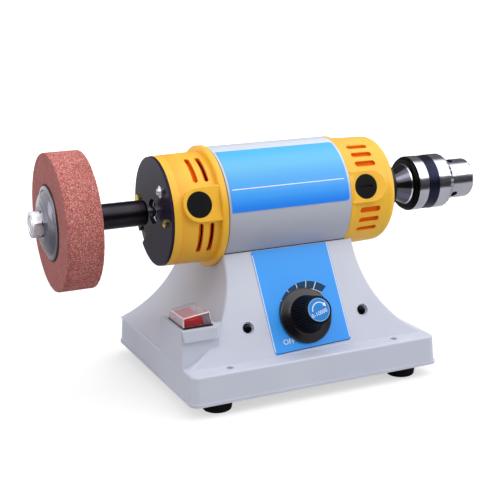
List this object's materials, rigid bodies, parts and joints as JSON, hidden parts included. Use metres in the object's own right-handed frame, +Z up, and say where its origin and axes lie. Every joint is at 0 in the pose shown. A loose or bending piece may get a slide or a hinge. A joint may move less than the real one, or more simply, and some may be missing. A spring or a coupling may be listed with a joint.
{
  "type": "dental polishing lathe",
  "caption": "Bench polishing lathe: variable-speed motor on a pedestal base, grinding wheel on one spindle end and a keyed drill chuck on the other.",
  "frame": {"origin": "on the surface the feet stand on, below the middle of the base and of the spindle line", "axes": "+X along the spindle towards the drill chuck, -Y towards the control panel, +Z up"},
  "size_m": [0.3704, 0.1688, 0.184],
  "materials": {
    "housing_grey": "satin moulded",
    "plate_grey": "satin",
    "black_rubber": "matt",
    "zinc": "bright zinc",
    "black_steel": "blackened",
    "brass": "bright",
    "copper": "bright copper",
    "print_blue": "printed film",
    "label_blue": "printed film",
    "knob_black": "satin moulded",
    "black_plastic": "satin moulded",
    "rocker_red": "translucent",
    "clear_cover": "clear",
    "board": "board",
    "tube_white": "gloss",
    "cap_yellow": "satin moulded",
    "end_disc": "satin",
    "chrome": "polished",
    "ground_steel": "turned",
    "lamination": "stacked sheet",
    "carbon": "carbon",
    "abrasive": "bonded grit"
  },
  "bodies": {
    "housing": {"base_shell": "housing_grey", "base_plate": "plate_grey", "rubber_feet": "black_rubber", "foot_screws": "zinc", "panel_label": "print_blue", "panel_screws": "black_steel", "potentiometer": "zinc", "switch_body": "black_plastic", "switch_cover": "clear_cover", "cord_gland": "black_rubber", "control_board": "board", "motor_tube": "tube_white", "motor_label": "label_blue", "saddle_screws": "zinc", "left_end_cap": "cap_yellow", "right_end_cap": "cap_yellow", "end_plate": "end_disc", "end_plate_screws": "brass", "earth_screw": "chrome", "cap_plugs": "black_plastic", "brush_caps": "black_plastic", "brush_holders": "brass", "carbon_brushes": "carbon", "brush_springs": "zinc", "stator_core": "lamination", "field_coils": "copper", "tie_bolts": "zinc", "left_bearing_outer": "chrome", "right_bearing_outer": "chrome", "bearing_cover": "black_plastic"},
    "spindle": {"left_bearing_inner": "chrome", "right_bearing_inner": "chrome", "motor_shaft": "ground_steel", "armature_core": "lamination", "armature_winding": "copper", "commutator": "copper", "cooling_fan": "black_plastic", "wheel_arbor": "black_steel", "arbor_set_screw": "black_steel", "inner_flange": "black_steel", "grinding_wheel": "abrasive", "outer_flange": "chrome", "wheel_nut": "chrome", "chuck_adapter": "black_steel", "chuck_body": "ground_steel", "chuck_rear_ring": "black_steel"},
    "chuck_sleeve": {"chuck_sleeve": "chrome", "chuck_nut": "ground_steel"},
    "jaw_1": {"chuck_jaw_1": "ground_steel"},
    "jaw_2": {"chuck_jaw_2": "ground_steel"},
    "jaw_3": {"chuck_jaw_3": "ground_steel"},
    "knob": {"speed_knob": "knob_black", "knob_disc": "print_blue", "pot_shaft": "brass"},
    "rocker": {"switch_rocker": "rocker_red"}
  },
  "joints": [
    {"name": "spindle_spin", "type": "hinge", "parent": "housing", "child": "spindle", "pos_m": [0, 0, 0.134], "axis": [1, 0, 0], "continuous": true},
    {"name": "chuck_key_ring", "type": "hinge", "parent": "spindle", "child": "chuck_sleeve", "pos_m": [0.14, 0, 0.134], "axis": [-1, 0, 0], "range_deg": [-1584, 2106]},
    {"name": "speed_dial", "type": "hinge", "parent": "housing", "child": "knob", "pos_m": [0.0012, -0.0562, 0.05449], "axis": [0, -0.9003, 0.4352], "range_deg": [-280, 0]},
    {"name": "switch_rock", "type": "hinge", "parent": "housing", "child": "rocker", "pos_m": [-0.0882, -0.0452, 0.0608], "axis": [0, 1, 0], "range_deg": [0, 13]},
    {"name": "jaw_1_slide", "type": "slide", "parent": "spindle", "child": "jaw_1", "axis": [0.9744, 0.2139, -0.0695], "range_m": [-0.00885, 0.01175]},
    {"name": "jaw_2_slide", "type": "slide", "parent": "spindle", "child": "jaw_2", "axis": [0.9744, -0.0468, 0.22], "range_m": [-0.00885, 0.01175]},
    {"name": "jaw_3_slide", "type": "slide", "parent": "spindle", "child": "jaw_3", "axis": [0.9744, -0.1672, -0.1505], "range_m": [-0.00885, 0.01175]}
  ],
  "couplings": [
    {"joint": "jaw_1_slide", "follows": "chuck_key_ring", "m_per_rad": 0.00031831},
    {"joint": "jaw_2_slide", "follows": "chuck_key_ring", "m_per_rad": 0.00031831},
    {"joint": "jaw_3_slide", "follows": "chuck_key_ring", "m_per_rad": 0.00031831}
  ]
}
